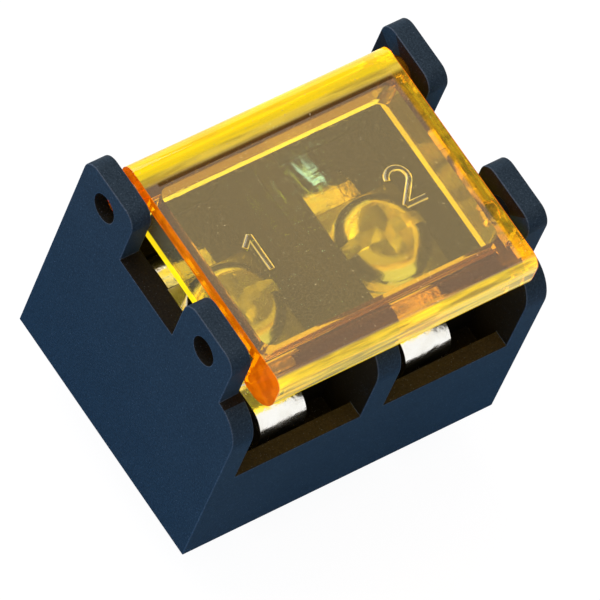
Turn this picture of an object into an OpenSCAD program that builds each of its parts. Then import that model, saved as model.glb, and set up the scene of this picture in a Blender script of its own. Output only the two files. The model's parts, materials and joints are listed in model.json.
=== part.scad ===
// Two-pole barrier terminal strip for a printed circuit board, with a hinged clear cover.
// X runs along the row of poles, the wire entries face -Y, and Z = 0 is the face that sits
// on the board, with the solder pins reaching below it. The origin is the centre of that face.

/* [Housing] */
// Distance between the centres of neighbouring poles
pitch = 9.5; // [9:0.25:12]
// Thickness of the barrier between the poles
barrier_t = 1.5; // [1.2:0.1:1.8]
// Thickness of the end walls
end_wall_t = 1.35; // [1.25:0.05:1.6]
// Extra width of the outer cells beside the end walls
end_room = 0.15; // [0:0.05:0.3]
// Front to back size of the housing
depth = 16; // [15.6:0.2:18]
// Height of the floor that carries the contacts
floor_h = 7.4; // [6.8:0.2:9]
// Height of the end walls between their ears
deck_h = 13.2; // [12.8:0.1:15]
// Height of the barrier above the floor
barrier_rise = 5.5; // [4.6:0.1:5.5]
// Height of the back wall above the floor
back_wall_rise = 5; // [3:0.25:5]
// Thickness of the back wall
back_wall_t = 1.4; // [1:0.1:1.6]
// Thickness of the sill under each wire entry
sill_t = 1; // [0.8:0.1:1.1]
// Depth of the trough behind the sill
trough_depth = 2.2; // [1:0.2:3]
// Radius of the walls' rounded front shoulders
shoulder_r = 2; // [1.2:0.1:2.2]

/* [Ears] */
// Height of the ears above the end walls
ear_h = 3.65; // [3.4:0.05:4.2]
// Front to back width of each ear
ear_w = 4.5; // [3.6:0.1:4.8]
// Thickness of the ears
ear_t = 1.25; // [1:0.05:1.25]
// Radius of the ears' top corners
ear_corner_r = 0.95; // [0.4:0.05:1.2]
// Diameter of the hole through each ear
ear_hole_d = 1.7; // [1.5:0.1:2.2]

/* [Cover] */
// Gap between each end of the cover and the ear beside it
cover_end_gap = 0.6; // [0.4:0.05:0.9]
// Height of the cover from its lower edge to its top
cover_h = 3.2; // [3.1:0.05:3.4]
// How far the cover's top stands above the hinge axis
cover_top_rise = 1.41; // [1.2:0.01:1.5]
// Thickness of the cover's clear pane
pane_t = 0.86; // [0.6:0.02:1.1]
// Thickness of the cover's end skirts
skirt_t = 0.6; // [0.5:0.05:1.1]
// How far the skirts stand inside the ends of the lip, the pane and the bead
skirt_inset = 0.2; // [0.1:0.05:0.5]
// Front to back thickness of the finger lip along the front
lip_t = 2.35; // [2:0.05:2.6]
// Radius of the lip's rounded lower front
lip_r = 1.5; // [1:0.05:1.6]
// How far the lip stays behind the housing's front face
lip_setback = 0.15; // [0:0.05:0.5]
// Radius of the upright corners inside the cover
cavity_r = 0.7; // [0.4:0.1:1]
// Front to back thickness of the bead along the back
bead_t = 2; // [1.7:0.05:2.2]
// How far the bead reaches behind the hinge axis
bead_reach = 1.3; // [1.1:0.05:1.5]
// Radius of the cover's top edges, front and back
cover_edge_r = 0.7; // [0.3:0.05:0.8]
// How far each hinge pin enters its ear
pin_entry = 0.5; // [0.3:0.05:0.8]
// Diameter of the snap bumps that hold the front down
bump_d = 1.4; // [1:0.1:1.5]

/* [Contacts] */
// Width of the contact strip at its bends
strip_w = 3; // [2.6:0.1:3.6]
// Thickness of the contact strip
strip_t = 0.9; // [0.7:0.05:1.1]
// Outer radius of the strip's bends
bend_r = 1.4; // [1.2:0.1:1.6]
// Width of the pad under the clamp plate
pad_w = 6; // [5:0.2:6.2]
// Front to back length of that pad
pad_l = 6.2; // [5:0.2:6.4]
// Gap between the sill and the contact's front leg
leg_setback = 0.4; // [0.3:0.05:0.6]
// Gap between the back wall and the contact's rear leg
rear_setback = 1.4; // [1:0.1:1.6]
// Outer diameter of the tapped collar drawn down from the pad
collar_d = 4.4; // [4:0.1:4.8]
// Length of that collar below the pad
collar_l = 1.4; // [0.8:0.1:1.8]
// Width of each solder pin
pin_w = 1.2; // [0.8:0.1:1.6]
// Length of the solder pins below the housing
pin_l = 3.5; // [3:0.1:4.5]

/* [Screws] */
// Nominal diameter of the terminal screws
screw_d = 3; // [2.5:0.1:3.2]
// Length of the screws under the head
screw_l = 6; // [5.5:0.25:6.5]
// Diameter of the pan heads
head_d = 5.4; // [4.8:0.1:5.6]
// Height of the pan heads
head_h = 2.1; // [1.7:0.1:2.3]
// Length of the sides of the square clamp plates
clamp_w = 6.4; // [6:0.1:6.6]
// Thickness of the clamp plates
clamp_t = 0.8; // [0.6:0.05:1]

/* [Clearances] */
// Gap round a turning pin or shank, measured on the radius
running_gap = 0.06; // [0.03:0.01:0.1]
// Gap between a contact and the slot that holds it
slot_gap = 0.1; // [0.05:0.01:0.2]

/* [Hidden] */
$fn = 64;
eps = 0.02;                       // overlap that makes two shapes of one moulding fuse
poles = 2;

length = poles * pitch - barrier_t + 2 * (end_room + end_wall_t);
cell_w = pitch - barrier_t;
front_y = -depth / 2;
back_y = depth / 2;

front_ear_y = front_y + shoulder_r + ear_w / 2;
hinge_y = back_y - ear_w / 2;
hinge_z = deck_h + ear_h / 2;

cover_l = length - 2 * (ear_t + cover_end_gap);
cover_top = hinge_z + cover_top_rise;
cover_front = front_y + lip_setback;
cover_back = hinge_y + bead_reach;
cover_bottom = cover_top - cover_h;
cover_depth = cover_back - cover_front;
skirt_x = cover_l / 2 - skirt_inset;  // outer faces of the skirts
cover_inner_r = 0.4;              // lower edges of the lip and bead inside the cover
bead_r = 1.1;                     // lower back edge of the bead
hinge_pin_d = ear_hole_d - 2 * running_gap;
bump_h = cover_end_gap + skirt_inset - 0.1;  // the bumps stop just short of the ears

pad_top = floor_h + strip_t;
leg_front = front_y + sill_t + leg_setback;
leg_back = back_y - back_wall_t - rear_setback;
screw_y = (leg_front + leg_back) / 2;
leg_end = 2.6;                    // height at which the legs narrow to pins
pin_tip = 0.35;                   // taper at the end of a solder pin
bore_d = screw_d + 2 * running_gap;
collar_end = floor_h - collar_l;
screw_seat = pad_top + clamp_t;   // underside of the screw head
screw_end = screw_seat - screw_l;
well_bottom = screw_end - 0.6;    // blind hole under the screw
well_d = screw_d + 0.8;
clamp_corner_r = 0.5;

function pole_x(i) = (i - (poles + 1) / 2) * pitch;

// Rectangle from the origin with its own radius at each corner, anticlockwise from the origin
module corner_rect(w, h, r) {
    places = [[0, 0], [w, 0], [w, h], [0, h]];
    difference() {
        square([w, h]);
        for (i = [0:3]) if (r[i] > 0)
            translate(places[i] - [r[i], r[i]]) square(2 * r[i]);
    }
    intersection() {
        square([w, h]);
        for (i = [0:3]) if (r[i] > 0)
            translate([places[i].x + (i == 0 || i == 3 ? r[i] : -r[i]),
                       places[i].y + (i < 2 ? r[i] : -r[i])]) circle(r[i]);
    }
}

// Extrudes an outline drawn as front-to-back by height, along X from x to x + l
module along_x(x, l) {
    translate([x, 0, 0]) rotate([90, 0, 90]) linear_extrude(l) children();
}

// Side outline of a wall with its rounded front shoulder
module wall_outline(h) {
    translate([front_y, 0]) corner_rect(depth, h, [0, 0, 0, shoulder_r]);
}

module ear_outline(y) {
    translate([y - ear_w / 2, deck_h - ear_corner_r])
        corner_rect(ear_w, ear_h + ear_corner_r, [0, 0, ear_corner_r, ear_corner_r]);
}

module end_wall(side) {
    outer = side > 0 ? length / 2 - end_wall_t : -length / 2;
    ear_x = side > 0 ? length / 2 - ear_t : -length / 2;
    along_x(outer, end_wall_t) wall_outline(deck_h);
    along_x(ear_x, ear_t) {
        ear_outline(front_ear_y);
        ear_outline(hinge_y);
    }
}

// Slot for one leg of a contact, and the narrow way out of it for the solder pin
module leg_slot(x, y) {
    w = strip_w + 2 * slot_gap;
    t = strip_t + 2 * slot_gap;
    translate([x - w / 2, y - slot_gap, leg_end - slot_gap]) cube([w, t, floor_h]);
    translate([x - pin_w / 2 - slot_gap, y - slot_gap, -eps])
        cube([pin_w + 2 * slot_gap, t, floor_h]);
}

// Everything taken out of the base at one pole
module pole_cuts(i) {
    x = pole_x(i);
    left = x - cell_w / 2 - (i == 1 ? end_room : 0);
    right = x + cell_w / 2 + (i == poles ? end_room : 0);
    translate([left, front_y + sill_t, floor_h - trough_depth])
        cube([right - left, leg_setback + bend_r, trough_depth + eps]);
    leg_slot(x, leg_front);
    leg_slot(x, leg_back - strip_t);
    translate([x - strip_w / 2 - slot_gap, leg_back - bend_r, floor_h - bend_r])
        cube([strip_w + 2 * slot_gap, bend_r + slot_gap, bend_r + eps]);
    translate([x, screw_y, collar_end - slot_gap])
        cylinder(d = collar_d + 2 * slot_gap, h = collar_l + 2 * slot_gap);
    translate([x, screw_y, well_bottom]) cylinder(d = well_d, h = floor_h);
}

module housing() color([0.07, 0.09, 0.12]) difference() {
    union() {
        translate([-length / 2, front_y, 0]) cube([length, depth, floor_h]);
        translate([-length / 2, back_y - back_wall_t, 0])
            cube([length, back_wall_t, floor_h + back_wall_rise]);
        for (i = [1:poles - 1])
            along_x(pole_x(i) + cell_w / 2, barrier_t) wall_outline(floor_h + barrier_rise);
        for (side = [-1, 1]) end_wall(side);
    }
    for (i = [1:poles]) pole_cuts(i);
    for (side = [-1, 1], y = [front_ear_y, hinge_y])
        translate([side * length / 2, y, hinge_z]) rotate([0, 90, 0])
            cylinder(d = ear_hole_d, h = 3 * ear_t, center = true);
}

// The pane with its front lip and back bead, seen from the end
module cover_section() {
    translate([cover_front, cover_bottom])
        corner_rect(lip_t, cover_h, [lip_r, cover_inner_r, 0, cover_edge_r]);
    translate([cover_back - bead_t, cover_bottom])
        corner_rect(bead_t, cover_h, [cover_inner_r, bead_r, cover_edge_r, 0]);
    translate([cover_front + lip_t - eps, cover_top - pane_t])
        square([cover_depth - lip_t - bead_t + 2 * eps, pane_t]);
}

// A skirt closes the end of the cavity, between the round undersides of the lip and the bead
module skirt_outline() {
    translate([cover_front + lip_r, cover_bottom])
        square([cover_depth - lip_r - bead_r, cover_h - pane_t / 2]);
}

// Upright fillet in an inner corner of the cover, with the corner at the origin
module cavity_corner() {
    translate([0, 0, cover_bottom + cover_inner_r])
        linear_extrude(cover_h - pane_t - cover_inner_r + eps) difference() {
            translate([-eps, -eps]) square(cavity_r + eps);
            translate([cavity_r, cavity_r]) circle(cavity_r + eps / 2);
        }
}

module cover() color([0.95, 0.72, 0.05, 0.6]) {
    for (side = [0, 1], end = [0, 1]) mirror([side, 0, 0])
        translate([skirt_t - skirt_x, end > 0 ? cover_back - bead_t : cover_front + lip_t, 0])
            mirror([0, end, 0]) cavity_corner();
    along_x(-cover_l / 2, cover_l) cover_section();
    for (side = [-1, 1]) {
        along_x(side > 0 ? skirt_x - skirt_t : -skirt_x, skirt_t) skirt_outline();
        translate([side * (skirt_x - eps), hinge_y, hinge_z]) rotate([0, side * 90, 0])
            cylinder(d = hinge_pin_d, h = skirt_inset + cover_end_gap + pin_entry + eps);
        translate([side * (skirt_x - eps), front_ear_y, hinge_z]) rotate([0, side * 90, 0])
            cylinder(d1 = bump_d, d2 = bump_d / 2, h = bump_h + eps);
    }
}

// Quarter of a bent strip: outer radius bend_r, turning from level to upright
module bend_outline() {
    difference() {
        circle(bend_r);
        circle(bend_r - strip_t);
        translate([-bend_r, -2 * bend_r]) square(2 * bend_r);
        translate([0, -eps]) square(bend_r + eps);
    }
}

// Side outline of the strip: flat top, a bend at each end and a leg below each bend
module strip_outline() {
    mid = pad_top - bend_r;
    translate([leg_front + bend_r, mid]) bend_outline();
    translate([leg_back - bend_r, mid]) mirror([1, 0]) bend_outline();
    translate([leg_front + bend_r - eps, floor_h])
        square([leg_back - leg_front - 2 * bend_r + 2 * eps, strip_t]);
    for (y = [leg_front, leg_back - strip_t])
        translate([y, leg_end]) square([strip_t, mid - leg_end + eps]);
}

module solder_pin(x, y) {
    translate([x - pin_w / 2, y, 0]) {
        translate([0, 0, -pin_l + pin_tip]) cube([pin_w, strip_t, pin_l - pin_tip + leg_end + eps]);
        translate([pin_w / 2, 0, -pin_l]) rotate([-90, 0, 0]) linear_extrude(strip_t)
            polygon([[-pin_w / 4, 0], [pin_w / 4, 0], [pin_w / 2, -pin_tip - eps],
                     [-pin_w / 2, -pin_tip - eps]]);
    }
}

module contact(i) color([0.86, 0.85, 0.78]) translate([pole_x(i), 0, 0]) difference() {
    union() {
        along_x(-strip_w / 2, strip_w) strip_outline();
        translate([-pad_w / 2, screw_y - pad_l / 2, floor_h]) cube([pad_w, pad_l, strip_t]);
        translate([0, screw_y, collar_end]) cylinder(d = collar_d, h = collar_l + eps);
        for (y = [leg_front, leg_back - strip_t]) solder_pin(0, y);
    }
    translate([0, screw_y, collar_end - 1]) cylinder(d = bore_d, h = collar_l + strip_t + 2);
}

module clamp_plate(i) color([0.80, 0.80, 0.76]) translate([pole_x(i), screw_y, pad_top])
    difference() {
        linear_extrude(clamp_t) translate([-clamp_w / 2, -clamp_w / 2])
            corner_rect(clamp_w, clamp_w, [for (k = [0:3]) clamp_corner_r]);
        translate([0, 0, -1]) cylinder(d = bore_d, h = clamp_t + 2);
    }

// Pan head with a cross recess and a slot, and a plain shank for the thread
module screw(i) color([0.82, 0.81, 0.75]) translate([pole_x(i), screw_y, screw_seat]) {
    edge_r = 0.62 * head_h;
    slot_w = 0.8;
    slot_depth = 0.75;
    cross_w = 0.75;
    cross_l = 3;
    cross_depth = 1.5;
    difference() {
        rotate_extrude() corner_rect(head_d / 2, head_h, [0, 0.15, edge_r, 0]);
        translate([-head_d, -slot_w / 2, head_h - slot_depth]) cube([2 * head_d, slot_w, head_h]);
        for (turn = [0, 90]) rotate([0, 0, turn])
            translate([-cross_l / 2, -cross_w / 2, head_h - cross_depth])
                cube([cross_l, cross_w, head_h]);
    }
    translate([0, 0, -screw_l + screw_d / 6]) cylinder(d = screw_d, h = screw_l - screw_d / 6 + eps);
    translate([0, 0, -screw_l]) cylinder(d1 = screw_d * 0.7, d2 = screw_d, h = screw_d / 6 + eps);
}

housing();
cover();
contact(1);  // contact_1
contact(2);  // contact_2
clamp_plate(1);  // clamp_plate_1
clamp_plate(2);  // clamp_plate_2
screw(1);  // screw_1
screw(2);  // screw_2
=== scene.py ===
# %% [markdown]
# # A two-pole barrier terminal strip
#
# The real thing is a small black moulding that is soldered to a circuit board. Two bent, tinned
# strips carry the current, a screw and a square plate clamp the wire on each of them, and an
# amber cover on two pins keeps fingers away. The solids come from the construction file, with
# every piece at its real size and place. This script gives them softened edges and finishes.

# %% Load the frame
import json
import math

import bmesh
import bpy
from mathutils import Matrix, Vector

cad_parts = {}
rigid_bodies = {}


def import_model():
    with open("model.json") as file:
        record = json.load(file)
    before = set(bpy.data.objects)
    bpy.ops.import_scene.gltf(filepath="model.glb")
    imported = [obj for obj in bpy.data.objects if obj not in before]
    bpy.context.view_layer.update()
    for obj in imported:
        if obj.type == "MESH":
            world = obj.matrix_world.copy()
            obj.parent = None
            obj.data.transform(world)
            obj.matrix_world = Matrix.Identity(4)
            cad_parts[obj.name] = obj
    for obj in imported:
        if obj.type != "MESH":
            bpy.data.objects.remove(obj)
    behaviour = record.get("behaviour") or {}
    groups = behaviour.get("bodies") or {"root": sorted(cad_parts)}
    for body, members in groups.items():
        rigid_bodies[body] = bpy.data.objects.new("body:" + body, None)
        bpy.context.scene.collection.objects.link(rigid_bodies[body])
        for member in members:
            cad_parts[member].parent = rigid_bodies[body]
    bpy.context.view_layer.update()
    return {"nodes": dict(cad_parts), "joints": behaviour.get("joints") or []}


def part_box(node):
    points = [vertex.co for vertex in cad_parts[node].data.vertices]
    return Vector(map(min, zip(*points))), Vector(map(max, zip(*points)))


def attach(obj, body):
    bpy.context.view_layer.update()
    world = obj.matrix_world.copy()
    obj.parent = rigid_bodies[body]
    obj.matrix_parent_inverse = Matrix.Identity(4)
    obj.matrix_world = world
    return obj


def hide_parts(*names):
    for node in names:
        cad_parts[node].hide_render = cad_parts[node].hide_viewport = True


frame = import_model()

MM = 0.001
scene = bpy.context.scene
nodes = frame["nodes"]
print("nodes:", ", ".join(sorted(nodes)))

# %% [markdown]
# ## The sizes that the pieces share
#
# Nothing is placed by eye. The boxes of the solids say where the cover's top is, where each
# screw stands and how low the solder pins reach.

# %% Measure the solids
housing_low, housing_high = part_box("housing")
cover_low, cover_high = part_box("cover")
pole_count = sum(name.startswith("screw_") for name in nodes)


def middle(node):
    """The middle of a solid's box."""
    low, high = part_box(node)
    return (low + high) / 2


poles = [middle(f"screw_{i}") for i in range(1, pole_count + 1)]
pitch = poles[1].x - poles[0].x
floor_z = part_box("contact_1")[0].z
print(f"pitch {pitch / MM:.2f} mm, cover top {cover_high.z / MM:.2f} mm, floor {floor_z / MM:.2f} mm")

# %% [markdown]
# ## A short way to write shader nodes
#
# A material is a graph of nodes, and a graph is hard to read as code. `Wire` wraps one socket,
# so that `wire * 2 + 1` adds the Math nodes for it. `Finish` makes a material and adds any other
# node from its type, its settings and what goes into its sockets.

# %% Wires and finishes
class Wire:
    """One output socket that can be used in sums. Each operator adds a Math node."""

    def __init__(self, finish, socket):
        self.finish = finish
        self.socket = socket

    def sum(self, operation, *others):
        values = dict(enumerate((self, *others)))
        return self.finish.node("ShaderNodeMath", {"operation": operation}, values)

    def __add__(self, other):
        return self.sum("ADD", other)

    __radd__ = __add__

    def __mul__(self, other):
        return self.sum("MULTIPLY", other)

    __rmul__ = __mul__

    def __sub__(self, other):
        return self.sum("SUBTRACT", other)

    def __rsub__(self, other):
        return self.finish.node("ShaderNodeMath", {"operation": "SUBTRACT"}, {0: other, 1: self})

    def __truediv__(self, other):
        return self.sum("DIVIDE", other)

    def __pow__(self, other):
        return self.sum("POWER", other)

    def between(self, low, high):
        """0 at low, 1 at high and a smooth step between. With low above high it falls instead."""
        settings = {"interpolation_type": "SMOOTHSTEP"}
        sockets = {0: self, 1: low, 2: high, 3: 0.0, 4: 1.0}
        return self.finish.node("ShaderNodeMapRange", settings, sockets)


class Finish:
    """A node material for one finish."""

    def __init__(self, name, target=None):
        self.owner = target or bpy.data.materials.new(name)
        self.owner.use_nodes = True
        self.tree = self.owner.node_tree
        self.tree.nodes.clear()

    def node(self, kind, settings=None, sockets=None, out=0):
        """Adds a node: settings first, then a value or a wire for each socket, by name or number."""
        made = self.tree.nodes.new(kind)
        for key, value in (settings or {}).items():
            if key == "stops":
                set_stops(made.color_ramp, value)
            else:
                setattr(made, key, value)
        for key, value in (sockets or {}).items():
            if isinstance(value, Wire):
                self.tree.links.new(value.socket, made.inputs[key])
            else:
                made.inputs[key].default_value = value
        return Wire(self, made.outputs[out])

    def place(self):
        """Where a point lies on the piece, in metres."""
        return self.node("ShaderNodeTexCoord", out="Object")

    def axes(self, where):
        """The x, y and z of a place or a direction, as three wires."""
        first = self.node("ShaderNodeSeparateXYZ", None, {0: where})
        return [Wire(self, first.socket.node.outputs[axis]) for axis in "XYZ"]

    def rays(self, *kinds):
        """For each kind, 1 where the ray that arrives is of that kind, as in 'Is Glossy Ray'."""
        first = self.node("ShaderNodeLightPath")
        return [Wire(self, first.socket.node.outputs[kind]) for kind in kinds]

    def noise(self, where, size, detail=2.0, roughness=0.5):
        """Soft random spots of about this size, in metres."""
        sockets = {"Vector": where, "Scale": 1 / size, "Detail": detail, "Roughness": roughness}
        return self.node("ShaderNodeTexNoise", None, sockets)

    def stretched(self, where, stretch):
        """The same place with each axis scaled, so that spots become streaks."""
        return self.node("ShaderNodeMapping", None, {"Vector": where, "Scale": stretch})

    def blend(self, factor, first, second):
        """A colour between two colours."""
        sockets = {0: factor, 6: first, 7: second}
        return self.node("ShaderNodeMix", {"data_type": "RGBA"}, sockets, out=2)

    def bump(self, height, distance, strength=1.0, under=None):
        """A normal that follows a height; distance is the height of 1, in metres."""
        sockets = {"Height": height, "Distance": distance, "Strength": strength}
        if under is not None:
            sockets["Normal"] = under
        return self.node("ShaderNodeBump", None, sockets)

    def finish_with(self, surface, volume=None):
        """Ends the tree, as a world or as a material."""
        is_world = isinstance(self.owner, bpy.types.World)
        kind = "ShaderNodeOutputWorld" if is_world else "ShaderNodeOutputMaterial"
        sockets = {"Surface": surface}
        if volume is not None:
            sockets["Volume"] = volume
        made = self.tree.nodes.new(kind)
        for key, value in sockets.items():
            self.tree.links.new(value.socket, made.inputs[key])
        return self.owner


def set_stops(ramp, stops):
    """Gives a colour ramp its stops: (place, colour) from left to right."""
    while len(ramp.elements) < len(stops):
        ramp.elements.new(1.0)
    for element, (place, colour) in zip(ramp.elements, stops):
        element.position = place
        element.color = colour


# %% [markdown]
# ## The black moulding
#
# The housing is a matte black thermoplastic out of a spark-eroded mould, so its skin has a fine
# even grain with tiny bright specks where a crystal of the mould caught the light. The black has
# a slight blue cast. The narrow bevel faces where two faces meet get a lighter finish of their
# own, a painted highlight that shows as a thin lighter line along each edge. A near-black finish
# is painted shade in the cells, on the wall tops between the ears and in the ear holes, and a dim
# brown finish is painted amber light on the sills.

# %% Housing plastic
def housing_plastic(name, low_colour, high_colour, speck_share, roughness):
    f = Finish(name)
    where = f.place()
    grain = f.noise(where, 0.11 * MM, 2.0, 0.65)
    cloud = f.noise(where, 2.4 * MM, 3.0, 0.55)
    speck = f.noise(where, 0.055 * MM, 1.0, 0.5).between(0.70 - speck_share, 0.78 - speck_share)
    shade = f.blend(grain.between(0.3, 0.7) * 0.7 + cloud * 0.3, low_colour, high_colour)
    colour = f.blend(speck * 0.5, shade, (0.16, 0.20, 0.25, 1))
    normal = f.bump(grain + speck * 0.3, 0.016 * MM, 0.55)
    surface = f.node("ShaderNodeBsdfPrincipled", None, {
        "Base Color": colour,
        "Roughness": grain * 0.14 + roughness,
        "Specular IOR Level": 0.08,
        "Normal": normal,
    })
    return f.finish_with(surface)


housing_skin = housing_plastic(
    "housing_plastic", (0.010, 0.018, 0.026, 1), (0.026, 0.042, 0.056, 1), 0.0, 0.52)
# The edge finish is a painted highlight: its lighter colour on the bevel faces shows as a thin light line.
housing_painted_edge_highlight = housing_plastic(
    "housing_painted_edge_highlight", (0.030, 0.040, 0.052, 1), (0.075, 0.090, 0.105, 1), 0.06, 0.38)
# The inside finish is painted shade: near-black, for the cells, the wall tops between the ears and the ear
# holes.
housing_painted_shade = housing_plastic(
    "housing_painted_shade", (0.004, 0.003, 0.002, 1), (0.014, 0.011, 0.007, 1), 0.0, 0.46)
# The sill finish is painted amber light: a dim brown for the light that comes through the cover onto the
# sills.
housing_sill_painted_amber_light = housing_plastic("housing_sill_painted_amber_light", (0.014, 0.010, 0.005, 1), (0.034, 0.024, 0.010, 1), 0.0, 0.50)
print("housing finishes:", housing_skin.name, housing_painted_edge_highlight.name, housing_painted_shade.name)

# %% [markdown]
# ## The amber cover
#
# The cover is polycarbonate dyed in the mass. A thin pane of it is pale yellow, and its edge,
# where light runs a long way through it, is deep orange. A colour painted on the surface can't do
# that, so the dye is a Volume Absorption that takes blue away at once and green slowly. A lamp's
# rays can't bend through glass in a path tracer without a lot of noise. For those rays alone the
# surface is a Transparent shader, and the dye still tints them.
#
# Dyed plastic also carries light along itself and lets it out at its edges. That takes more rays
# than a render has, so the edges get a faint painted glow instead, an emission in the material.
# Masks made from the place pick them out: the cut ends are orange, the rims and the lip yellow,
# and the lowest part of the back bead a bright painted highlight. The pole numbers and the dust
# specks on the top get painted glow too, and so does a blotchy border at one end of the top.

# %% Amber polycarbonate
def amber_polycarbonate(name, low, high):
    """low and high are the corners of the cover's box."""
    f = Finish(name)
    where = f.place()
    x, y, z = f.axes(where)
    ripple = f.noise(f.stretched(where, (1.0, 0.35, 1.0)), 1.9 * MM, 2.0, 0.5)
    scratch = f.noise(f.stretched(where, (0.12, 1.0, 1.0)), 0.16 * MM, 3.0, 0.6).between(0.60, 0.72)
    dust_and_glint = f.noise(where, 0.14 * MM, 2.0, 0.5).between(0.70, 0.78)
    normal = f.bump(ripple, 0.03 * MM, 0.35, f.bump(dust_and_glint + scratch * 0.5, 0.004 * MM, 0.5))

    streak = f.noise(f.stretched(where, (0.10, 1.0, 1.0)), 0.50 * MM, 3.0, 0.6).between(0.36, 0.60)
    blotch = f.noise(where, 1.1 * MM, 3.0, 0.6).between(0.42, 0.60)
    side = x.sum("ABSOLUTE", 0.0)
    bead = y.between(high.y - 1.95 * MM, high.y - 1.60 * MM)
    outer_bead = y.between(high.y - 1.45 * MM, high.y - 1.20 * MM)
    lip = y.between(low.y + 0.55 * MM, low.y + 0.35 * MM)
    rim = z.between(low.z + 0.56 * MM, low.z + 0.50 * MM)
    bead_face = y.between(high.y - 2.10 * MM, high.y - 2.04 * MM)
    bead_face = bead_face * y.between(high.y - 1.80 * MM, high.y - 1.86 * MM)
    bead_face = bead_face * side.between(high.x - 0.75 * MM, high.x - 0.85 * MM)
    back_highlight = bead_face * z.between(low.z + 0.95 * MM, low.z + 0.88 * MM)
    top = z.between(high.z - 0.12 * MM, high.z - 0.04 * MM)
    border = x.between(high.x - 0.90 * MM, high.x - 0.70 * MM) * top
    end = side.between(high.x - 0.06 * MM, high.x - 0.02 * MM)
    pin = side.between(high.x + 0.02 * MM, high.x + 0.06 * MM)
    above_pane = z.between(high.z + 0.012 * MM, high.z + 0.030 * MM)
    ridge = above_pane * z.between(high.z + 0.085 * MM, high.z + 0.070 * MM)
    outside = 1 - f.node("ShaderNodeNewGeometry", out="Backfacing")

    # The emission colour built below is a painted glow: edges, rims, lip, bead and numbers shine though the
    # cover is no lamp.
    dark, yellow_glow = (0, 0, 0, 1), (0.72, 0.52, 0.0, 1)
    glow = f.blend(border * blotch, dark, (0.16, 0.08, 0.0, 1))
    glow = f.blend(bead * (streak * 0.5 + 0.5), glow, (0.55, 0.42, 0.05, 1))
    glow = f.blend(outer_bead * (streak * 0.4 + 0.6), glow, yellow_glow)
    glow = f.blend(lip * (streak * 0.7 + 0.3), glow, yellow_glow)
    glow = f.blend(rim, glow, (0.86, 0.66, 0.01, 1))
    # A bright painted highlight along the lowest part of the back bead.
    glow = f.blend(back_highlight, glow, (1.0, 1.0, 0.6, 1))
    glow = f.blend(end, glow, f.blend(blotch, (0.38, 0.05, 0.0, 1), (0.56, 0.10, 0.0, 1)))
    # The pole numbers' ridges get a painted glow.
    glow = f.blend(ridge, glow, (0.50, 0.34, 0.04, 1))
    # Dust specks on the top get a painted glint, besides their bumps and roughness.
    glow = f.blend(top * dust_and_glint, glow, (0.30, 0.26, 0.16, 1))
    glow = f.blend(outside * (1 - pin), dark, glow)
    thick = border.sum("MAXIMUM", bead).sum("MAXIMUM", lip).sum("MAXIMUM", rim)
    tint = f.blend(thick, (1.0, 0.92, 0.68, 1), (1.0, 0.80, 0.05, 1))
    tint = f.blend(end, tint, (1.0, 0.50, 0.02, 1))
    tint = f.blend(bead_face * (1 - back_highlight), tint, (0.36, 0.24, 0.05, 1))
    plastic = f.node("ShaderNodeBsdfPrincipled", None, {
        "Base Color": tint,
        "Roughness": scratch * 0.05 + dust_and_glint * 0.15 + 0.03,
        "IOR": 1.585,
        "Transmission Weight": 0.905,
        "Emission Color": glow,
        "Emission Strength": 1.0,
        "Normal": normal,
    })
    clear = f.node("ShaderNodeBsdfTransparent", None, {"Color": (0.94, 0.90, 0.75, 1)})
    shadow, bounce = f.rays("Is Shadow Ray", "Is Diffuse Ray")
    surface = f.node("ShaderNodeMixShader", None, {0: shadow.sum("MAXIMUM", bounce), 1: plastic, 2: clear})
    dye = f.node("ShaderNodeVolumeAbsorption", None, {"Color": (0.9965, 0.945, 0.0, 1), "Density": 2600.0})
    return f.finish_with(surface, dye)


PIN_REACH = 1.10 * MM
cover_corner = Vector((cover_high.x - PIN_REACH, cover_high.y, cover_high.z))
amber = amber_polycarbonate("amber_polycarbonate", cover_low, cover_corner)
print("cover finish:", amber.name)

# %% [markdown]
# ## Bright metals
#
# The contact strips are rolled brass under tin: a white metal with a faint warmth, and fine
# streaks along the strip from the rolls. The screws and clamp plates are plated steel, a little
# greyer, with the marks of the tumbling barrel.

# %% Plated metals
def plated_metal(name, colour, tarnish, streaks, roughness, dents):
    """dents is how deep the hammered unevenness of the sheet is, in metres."""
    f = Finish(name)
    where = f.place()
    uneven = f.bump(f.noise(where, 0.55 * MM, 2.0, 0.5), dents, 0.6)
    lines = f.noise(f.stretched(where, streaks), 0.12 * MM, 3.0, 0.6)
    pits = f.noise(where, 0.30 * MM, 3.0, 0.6)
    cloud = f.noise(where, 1.3 * MM, 3.0, 0.55).between(0.40, 0.72)
    normal = f.bump(lines, 0.006 * MM, 0.45, f.bump(pits, 0.02 * MM, 0.35, uneven))
    surface = f.node("ShaderNodeBsdfPrincipled", None, {
        "Base Color": f.blend(cloud * 0.6, colour, tarnish),
        "Metallic": 1.0,
        "Roughness": lines * 0.12 + cloud * 0.08 + roughness,
        "Normal": normal,
    })
    return f.finish_with(surface)


tin = plated_metal(
    "tin_plate", (0.97, 0.96, 0.91, 1), (0.86, 0.83, 0.74, 1), (1.0, 0.08, 1.0), 0.14, 0.07 * MM)
nickel = plated_metal(
    "nickel_plate", (0.80, 0.79, 0.75, 1), (0.62, 0.60, 0.56, 1), (0.5, 0.5, 1.0), 0.12, 0.015 * MM)
print("metal finishes:", tin.name, nickel.name)

# %% [markdown]
# ## Softened edges
#
# A moulded or stamped edge is never sharp. It has a radius of a few hundredths of a millimetre,
# and that radius is what catches the light. The solid's mesh is copied, its loose triangles are
# welded, and flat areas become single faces, so that a Bevel modifier meets only real edges. The
# modifiers are turned into a plain mesh before the piece is hung on its body.

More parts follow.
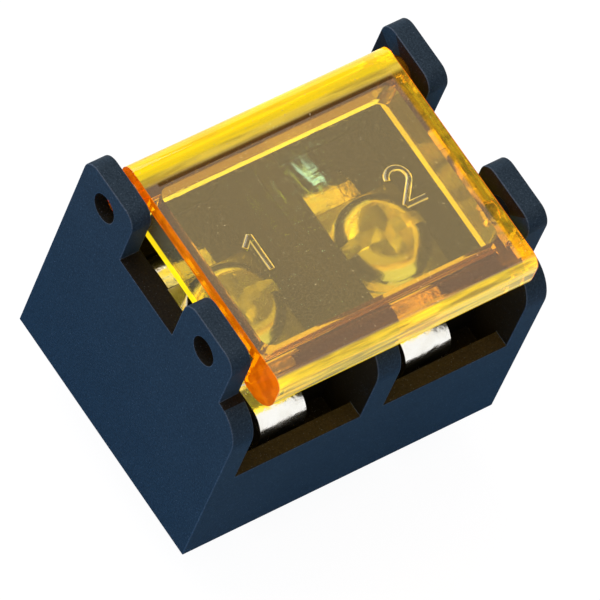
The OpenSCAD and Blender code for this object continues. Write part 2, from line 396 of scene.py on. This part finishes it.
# %% Bevelled copies of the solids
def welded_copy(node, name):
    """A copy of a solid's mesh with its triangles joined and its flat areas made single faces."""
    mesh = nodes[node].data.copy()
    mesh.name = name
    mesh.materials.clear()
    work = bmesh.new()
    work.from_mesh(mesh)
    bmesh.ops.remove_doubles(work, verts=work.verts, dist=0.0005 * MM)
    bmesh.ops.dissolve_limit(work, angle_limit=math.radians(1), verts=work.verts, edges=work.edges)
    for face in work.faces:
        face.smooth = True
    work.to_mesh(mesh)
    work.free()
    for layer in list(mesh.attributes):
        if layer.name == "custom_normal":
            mesh.attributes.remove(layer)
    piece = bpy.data.objects.new(name, mesh)
    scene.collection.objects.link(piece)
    return piece


def made_plain(piece):
    """Turns a piece's modifiers into its mesh."""
    graph = bpy.context.evaluated_depsgraph_get()
    mesh = bpy.data.meshes.new_from_object(piece.evaluated_get(graph), depsgraph=graph)
    piece.modifiers.clear()
    piece.data = mesh
    mesh.name = piece.name
    return piece


FLAT_WIDTH = 0.40 * MM


def shade_by_width(mesh):
    """Wide faces are truly flat, and narrow ones are facets of a curve, so only those are smoothed."""
    for face in mesh.polygons:
        points = [mesh.vertices[i].co for i in face.vertices]
        rim = sum((a - b).length for a, b in zip(points, points[1:] + points[:1]))
        face.use_smooth = 2 * face.area / rim < FLAT_WIDTH / 2


def softened(node, name, radius, materials, segments=2, edge_material=-1):
    """A bevelled copy of a solid, as a plain mesh."""
    piece = welded_copy(node, name)
    for material in materials:
        piece.data.materials.append(material)
    bevel = piece.modifiers.new("edges", "BEVEL")
    bevel.width = radius
    bevel.segments = segments
    bevel.limit_method = "ANGLE"
    bevel.angle_limit = math.radians(32)
    bevel.material = edge_material
    bevel.use_clamp_overlap = True
    made_plain(piece)
    shade_by_width(piece.data)
    print(f"{name}: {len(piece.data.polygons)} faces")
    return piece


# %% [markdown]
# ## Housing
#
# The whole black moulding is one piece, so it stays one mesh.

# %% Make the housing
END_WALL = 1.35 * MM
SILL = 1.0 * MM
FRONT_EAR = 4.25 * MM
EAR_HOLE = 0.85 * MM
hinge = Vector(next(j["pos_m"] for j in frame["joints"] if j["name"] == "cover_hinge"))
ear_holes = [(hinge.y, hinge.z), (housing_low.y + FRONT_EAR, hinge.z)]


def paint_shade_and_amber_light(mesh, shade_slot, amber_light_slot):
    """Paints shade in cells, ear holes and wall tops between ears, and amber light on the sills."""
    count = 0
    for face in mesh.polygons:
        spot = face.center
        inner = abs(spot.x) < housing_high.x - END_WALL + 0.02 * MM and spot.z < cover_low.z
        behind_sill = housing_low.y + SILL - 0.02 * MM < spot.y < housing_high.y - SILL
        in_cell = inner and behind_sill and face.normal.z > -0.5
        wall_top = face.normal.z > 0.9 and 0 < cover_low.z - spot.z < 0.1 * MM
        reaches = [math.hypot(spot.y - y, spot.z - z) for y, z in ear_holes]
        in_hole = min(reaches) < EAR_HOLE + 0.01 * MM
        # Cells, wall tops between the ears and ear holes get painted shade; sill tops get painted amber
        # light.
        if in_cell or wall_top or in_hole:
            face.material_index = shade_slot
            count += 1
        elif inner and spot.y < housing_low.y + SILL and face.normal.z > 0.9:
            face.material_index = amber_light_slot
    return count


finishes = [housing_skin, housing_painted_edge_highlight, housing_painted_shade, housing_sill_painted_amber_light]
housing = softened("housing", "housing_moulding", 0.07 * MM, finishes, 2, 1)
print("faces in the cells:", paint_shade_and_amber_light(housing.data, 2, 3))
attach(housing, "block")
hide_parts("housing")

# %% [markdown]
# ## Cover
#
# The cover's pole numbers stand up from the pane as rounded ridges. Each stroke follows a path,
# which is what Curve to Mesh does: the tree takes the paths, sweeps a flattened round profile
# along them and gives the result its material. A Boolean then joins the ridges to the pane,
# because light that meets a hidden face inside clear plastic would show it.

# %% Ridge along a path
def new_tree(name, inputs):
    """An empty Geometry Nodes tree with a geometry in, named number inputs and a geometry out."""
    tree = bpy.data.node_groups.new(name, "GeometryNodeTree")
    tree.interface.new_socket("Geometry", in_out="INPUT", socket_type="NodeSocketGeometry")
    for label, kind, value in inputs:
        socket = tree.interface.new_socket(label, in_out="INPUT", socket_type=kind)
        if value is not None:
            socket.default_value = value
    tree.interface.new_socket("Geometry", in_out="OUTPUT", socket_type="NodeSocketGeometry")
    return tree


class Steps:
    """Adds nodes to a Geometry Nodes tree, in the same way as Finish does for a material."""

    def __init__(self, tree):
        self.tree = tree
        self.given = tree.nodes.new("NodeGroupInput")

    def node(self, kind, settings=None, sockets=None, out=0):
        made = self.tree.nodes.new(kind)
        for key, value in (settings or {}).items():
            setattr(made, key, value)
        for key, value in (sockets or {}).items():
            if isinstance(value, bpy.types.NodeSocket):
                self.tree.links.new(value, made.inputs[key])
            else:
                made.inputs[key].default_value = value
        return made.outputs[out]

    def sum(self, operation, *values):
        return self.node("ShaderNodeMath", {"operation": operation}, dict(enumerate(values)))

    def finish_with(self, geometry, material):
        """Realizes instances, sets the material and ends the tree."""
        real = self.node("GeometryNodeRealizeInstances", None, {0: geometry})
        dressed = self.node("GeometryNodeSetMaterial", None, {"Geometry": real, "Material": material})
        end = self.tree.nodes.new("NodeGroupOutput")
        self.tree.links.new(dressed, end.inputs[0])


def add_tree(piece, tree, values):
    """Gives a piece a Geometry Nodes modifier, with its inputs set by their identifiers."""
    modifier = piece.modifiers.new(tree.name, "NODES")
    modifier.node_group = tree
    ids = {s.name: s.identifier for s in tree.interface.items_tree if s.in_out == "INPUT"}
    for label, value in values.items():
        modifier[ids[label]] = value
    return modifier


def ridge_tree():
    inputs = [("Width", "NodeSocketFloat", 0.0005), ("Height", "NodeSocketFloat", 0.0003),
              ("Material", "NodeSocketMaterial", None)]
    tree = new_tree("ridge along a path", inputs)
    steps = Steps(tree)
    given = steps.given.outputs
    outline = steps.node("GeometryNodeCurvePrimitiveQuadrilateral", None,
                         {"Width": given["Width"], "Height": given["Height"]})
    corner = steps.sum("MULTIPLY", given["Height"], 0.42)
    profile = steps.node("GeometryNodeFilletCurve", None, {"Curve": outline, "Radius": corner})
    path = steps.node("GeometryNodeMeshToCurve", None, {0: given["Geometry"]})
    swept = steps.node("GeometryNodeCurveToMesh", None,
                       {"Curve": path, "Profile Curve": profile, "Fill Caps": True})
    steps.finish_with(swept, given["Material"])
    return tree


print("tree:", ridge_tree().name)

# %% Draw the pole numbers' paths
DIGIT_RADIUS = 0.62 * MM
DIGIT_TOP = 1.12 * MM
DIGIT_FOOT = -1.10 * MM
DIGIT_SHIFT = -0.40 * MM
STROKE_WIDTH = 0.44 * MM
STROKE_HEIGHT = 0.30 * MM
STROKE_RISE = 0.10 * MM


def arc(centre, radius, start, stop, count):
    """Points along an arc, with its angles in degrees."""
    turns = [math.radians(start + (stop - start) * i / count) for i in range(count + 1)]
    return [(centre[0] + radius * math.cos(t), centre[1] + radius * math.sin(t)) for t in turns]


def digit_strokes(number):
    """The strokes of a 1 or a 2, each a list of points across and up from the digit's middle."""
    if number == 1:
        stem = 0.22 * MM
        return [[(stem, DIGIT_TOP), (stem, DIGIT_FOOT)],
                [(stem, DIGIT_TOP), (-0.40 * MM, DIGIT_TOP - 0.56 * MM)]]
    hook = arc((-0.06 * MM, DIGIT_TOP - DIGIT_RADIUS), DIGIT_RADIUS, 172, -38, 14)
    heel = (-0.62 * MM, DIGIT_FOOT)
    return [hook + [heel], [heel, (0.72 * MM, DIGIT_FOOT)]]


def path_piece(name, strokes, offset, height):
    """A mesh of bare edges that follows the strokes."""
    points, edges = [], []
    for stroke in strokes:
        first = len(points)
        points += [(offset.x + x, offset.y + y, height) for x, y in stroke]
        edges += [(i, i + 1) for i in range(first, len(points) - 1)]
    mesh = bpy.data.meshes.new(name)
    mesh.from_pydata(points, edges, [])
    piece = bpy.data.objects.new(name, mesh)
    scene.collection.objects.link(piece)
    return piece


def digit(number, spot):
    """A pole number as a raised ridge on the pane."""
    height = cover_high.z + STROKE_RISE - STROKE_HEIGHT / 2
    piece = path_piece(f"digit_{number}", digit_strokes(number), spot, height)
    add_tree(piece, bpy.data.node_groups["ridge along a path"],
             {"Width": STROKE_WIDTH, "Height": STROKE_HEIGHT, "Material": amber})
    return made_plain(piece)


# %% Make the cover
cover = softened("cover", "amber_cover", 0.12 * MM, [amber], 3)
for number, spot in enumerate(poles, 1):
    ridge = digit(number, spot + Vector((DIGIT_SHIFT, 0, 0)))
    print("digit", number, "box", [round(v / MM, 2) for v in ridge.dimensions])
    union = cover.modifiers.new(ridge.name, "BOOLEAN")
    union.operation = "UNION"
    union.solver = "EXACT"
    union.use_self = True
    union.object = ridge
made_plain(cover)
shade_by_width(cover.data)
for leftover in [o for o in scene.objects if o.name.startswith("digit_")]:
    bpy.data.objects.remove(leftover)
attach(cover, "cover")
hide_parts("cover")

# %% [markdown]
# ## Contacts and clamp plates
#
# The strips are stamped and bent, so their edges are rounded on the side where the die went in.
# Here every sharp edge gets a small bevel, on both sides alike.

# %% Make the contacts and the clamp plates
for i in range(1, pole_count + 1):
    strip = softened(f"contact_{i}", f"tinned_contact_{i}", 0.09 * MM, [tin], 3)
    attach(strip, "block")
    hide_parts(f"contact_{i}")
    plate = softened(f"clamp_plate_{i}", f"square_clamp_{i}", 0.10 * MM, [nickel], 3)
    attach(plate, f"clamp_{i}")
    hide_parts(f"clamp_plate_{i}")

# %% [markdown]
# ## Screws
#
# A screw's thread is one ridge that follows a helix. The Spiral curve gives the path, and Curve
# to Mesh sweeps a small triangle along it, round a core that is the root of the thread. The head
# is the solid's own, with its edges softened.

# %% Make the screws
THREAD_PITCH = 0.5 * MM
THREAD_RADIUS = 1.49 * MM
THREAD_DEPTH = 0.27 * MM


def thread_tree():
    inputs = [("Radius", "NodeSocketFloat", 0.0015), ("Depth", "NodeSocketFloat", 0.0003),
              ("Pitch", "NodeSocketFloat", 0.0005), ("Length", "NodeSocketFloat", 0.005),
              ("Material", "NodeSocketMaterial", None)]
    tree = new_tree("thread round a core", inputs)
    steps = Steps(tree)
    given = steps.given.outputs
    turns = steps.sum("DIVIDE", given["Length"], given["Pitch"])
    root = steps.sum("SUBTRACT", given["Radius"], given["Depth"])
    helix = steps.node("GeometryNodeCurveSpiral", None, {
        "Resolution": 28, "Rotations": turns, "Start Radius": root, "End Radius": root,
        "Height": given["Length"]})
    profile = steps.node("GeometryNodeCurvePrimitiveCircle", {"mode": "RADIUS"},
                         {"Resolution": 4, "Radius": given["Depth"]})
    ridge = steps.node("GeometryNodeCurveToMesh", None,
                       {"Curve": helix, "Profile Curve": profile, "Fill Caps": True})
    core = steps.node("GeometryNodeMeshCylinder", {"fill_type": "NGON"},
                      {"Vertices": 40, "Radius": root, "Depth": given["Length"]})
    half = steps.sum("MULTIPLY", given["Length"], 0.5)
    rise = steps.node("ShaderNodeCombineXYZ", None, {"Z": half})
    raised = steps.node("GeometryNodeTransform", None, {"Geometry": core, "Translation": rise})
    joined = steps.node("GeometryNodeJoinGeometry", None, {0: ridge})
    tree.links.new(raised, joined.node.inputs[0])
    steps.finish_with(joined, given["Material"])
    return tree


thread = thread_tree()


def cut_above(piece, height):
    """Keeps the part of a mesh that lies above a height, and closes it."""
    work = bmesh.new()
    work.from_mesh(piece.data)
    everything = work.verts[:] + work.edges[:] + work.faces[:]
    cut = bmesh.ops.bisect_plane(work, geom=everything, plane_co=(0, 0, height), plane_no=(0, 0, -1),
                                 clear_outer=True)
    rim = [e for e in cut["geom_cut"] if isinstance(e, bmesh.types.BMEdge)]
    bmesh.ops.contextual_create(work, geom=rim)
    work.to_mesh(piece.data)
    work.free()


def joined(name, pieces):
    """Several objects made into one mesh."""
    work = bmesh.new()
    for piece in pieces:
        work.from_mesh(piece.data)
    mesh = bpy.data.meshes.new(name)
    work.to_mesh(mesh)
    work.free()
    for material in pieces[0].data.materials:
        mesh.materials.append(material)
    for piece in pieces:
        bpy.data.objects.remove(piece)
    whole = bpy.data.objects.new(name, mesh)
    scene.collection.objects.link(whole)
    return whole


def screw(i):
    """A pan-head terminal screw with its thread."""
    low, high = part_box(f"screw_{i}")
    under_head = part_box(f"clamp_plate_{i}")[1].z
    head = softened(f"screw_{i}", f"screw_head_{i}", 0.05 * MM, [nickel], 2)
    cut_above(head, under_head - 0.3 * MM)
    base = bpy.data.objects.new(f"thread_{i}", bpy.data.meshes.new("empty"))
    scene.collection.objects.link(base)
    length = under_head - 0.2 * MM - low.z
    add_tree(base, thread, {"Radius": THREAD_RADIUS, "Depth": THREAD_DEPTH, "Pitch": THREAD_PITCH,
                            "Length": length, "Material": nickel})
    made_plain(base)
    base.data.transform(Matrix.Translation((poles[i - 1].x, poles[i - 1].y, low.z)))
    return joined(f"terminal_screw_{i}", [head, base])


for i in range(1, pole_count + 1):
    piece = screw(i)
    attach(piece, f"screw_{i}")
    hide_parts(f"screw_{i}")
    print(piece.name, "has", len(piece.data.polygons), "faces")

# %% [markdown]
# ## The stage
#
# A plain pale floor under the solder pins and a soft box behind the part. Bright metal and clear
# plastic show what they mirror and bend, so those rays meet a white room with a dark patch of
# ceiling. A matte face only gathers light, and for its rays the room is blue low down, which
# gives the black sides their navy cast. The floor close to the part is blue for mirrored rays too.

# %% Floor
def floor_paper(name):
    f = Finish(name)
    bright = f.node("ShaderNodeEmission", None, {"Color": (1.0, 1.0, 1.0, 1), "Strength": 1.05})
    white = f.node("ShaderNodeBsdfDiffuse", None, {"Color": (0.90, 0.90, 0.90, 1)})
    paper = f.node("ShaderNodeMixShader", None, {0: 0.10, 1: bright, 2: white})
    cool = f.node("ShaderNodeBsdfDiffuse", None, {"Color": (0.12, 0.44, 0.88, 1)})
    bounce, glossy, through = f.rays("Is Diffuse Ray", "Is Glossy Ray", "Is Transmission Ray")
    distance = f.node("ShaderNodeVectorMath", {"operation": "LENGTH"}, {0: f.place()}, out="Value")
    mirrored = glossy * (1 - through) * distance.between(34 * MM, 22 * MM)
    cool_share = bounce.sum("MAXIMUM", mirrored)
    return f.finish_with(f.node("ShaderNodeMixShader", None, {0: cool_share, 1: paper, 2: cool}))


FLOOR_SIZE = 3.0
mesh = bpy.data.meshes.new("floor")
half = FLOOR_SIZE / 2
corners = [(-half, -half), (half, -half), (half, half), (-half, half)]
mesh.from_pydata([(x, y, floor_z) for x, y in corners], [], [(0, 1, 2, 3)])
mesh.materials.append(floor_paper("floor_paper"))
floor = bpy.data.objects.new("floor", mesh)
scene.collection.objects.link(floor)

# %% Lights
centre = Vector((0, 0, housing_high.z / 2))


def direction(azimuth, elevation):
    """Unit vector from the part to a point seen at this azimuth and elevation, in degrees."""
    a, e = math.radians(azimuth), math.radians(elevation)
    return Vector((math.sin(a) * math.cos(e), -math.cos(a) * math.cos(e), math.sin(e)))


def soft_box(name, spot, way, distance, size, power, colour):
    """A flat area light at a distance from a spot, along a way, that faces the spot."""
    lamp = bpy.data.lights.new(name, "AREA")
    lamp.shape = "RECTANGLE"
    lamp.size, lamp.size_y = size
    lamp.energy = power
    lamp.color = colour
    box = bpy.data.objects.new(name, lamp)
    scene.collection.objects.link(box)
    facing = way.to_track_quat("Z", "Y").to_matrix().to_4x4()
    box.matrix_world = Matrix.Translation(spot + way * distance) @ facing
    print(name, "stands", round((spot + way * distance).z / MM), "mm up")


soft_box("back box", centre, direction(-167, 48), 0.40, (0.34, 0.34), 0.8, (1.0, 0.97, 0.93))

# %% [markdown]
# A ceiling lamp shows in the pane as a small greenish patch. A flat mirror shows a lamp where the
# way in and the way out lean alike, so the lamp's place follows from the camera's and the patch's.

# %% Ceiling lamp
CAMERA_AZIMUTH = -55.60
CAMERA_ELEVATION = 56.57
CAMERA_DISTANCE = 558.7 * MM
CAMERA_TARGET = Vector((0.0955, -0.7775, 7.762)) * MM
LAMP_DISTANCE = 120 * MM
LAMP_SIZE = (2.2 * MM, 1.0 * MM)
camera_place = CAMERA_TARGET + direction(CAMERA_AZIMUTH, CAMERA_ELEVATION) * CAMERA_DISTANCE
lamp_patch = Vector((-0.13 * MM, 2.15 * MM, cover_high.z))
camera_way = (camera_place - lamp_patch).normalized()
mirror_way = Vector((-camera_way.x, -camera_way.y, camera_way.z))
soft_box("ceiling lamp", lamp_patch, mirror_way, LAMP_DISTANCE, LAMP_SIZE, 7.0e-5, (0.55, 1.0, 0.66))


# %% Sky
def sky():
    """White with a dark patch of ceiling for mirrored rays, and blue low down for the rest."""
    f = Finish("sky", bpy.data.worlds.new("sky"))
    where = f.node("ShaderNodeTexCoord", out="Generated")
    x, y, z = f.axes(where)
    ceiling = (x * mirror_way.x + y * mirror_way.y + z * mirror_way.z).between(0.86, 0.95)
    sharp = f.blend(ceiling, (1.0, 1.0, 1.0, 1), (0.13, 0.12, 0.13, 1))
    soft_stops = [(0.0, (0.05, 0.34, 0.80, 1)), (0.35, (0.16, 0.42, 0.78, 1)), (0.75, (0.98, 0.84, 0.80, 1))]
    soft = f.node("ShaderNodeValToRGB", {"stops": soft_stops}, {0: z})
    front = (x - y).between(-1.2, 1.2)
    tint = f.blend(front, (1.75, 1.75, 1.75, 1), (0.42, 0.42, 0.42, 1))
    multiply = {"data_type": "RGBA", "blend_type": "MULTIPLY"}
    soft = f.node("ShaderNodeMix", multiply, {0: 1.0, 6: soft, 7: tint}, out=2)
    bounce, seen = f.rays("Is Diffuse Ray", "Is Camera Ray")
    colour = f.blend(seen, f.blend(bounce, sharp, soft), (1.0, 1.0, 1.0, 1))
    return f.finish_with(f.node("ShaderNodeBackground", None, {"Color": colour, "Strength": 1.0}))


scene.world = sky()
scene.view_settings.view_transform = "Standard"

# %% Camera
CAMERA_ROLL = -25.24
LENS_MM = 635.6


def set_camera():
    """A long lens that looks down on the front left corner."""
    data = bpy.data.cameras.new("camera")
    data.lens = LENS_MM
    data.sensor_width = 36.0
    data.clip_start = 0.01
    data.clip_end = 10.0
    camera = bpy.data.objects.new("camera", data)
    scene.collection.objects.link(camera)
    out = (camera_place - CAMERA_TARGET).normalized()
    right = Vector((0, 0, 1)).cross(out).normalized()
    up = out.cross(right)
    upright = Matrix((right, up, out)).transposed()
    roll = Matrix.Rotation(math.radians(-CAMERA_ROLL), 3, "Z")
    camera.matrix_world = Matrix.Translation(camera_place) @ (upright @ roll).to_4x4()
    scene.camera = camera


set_camera()
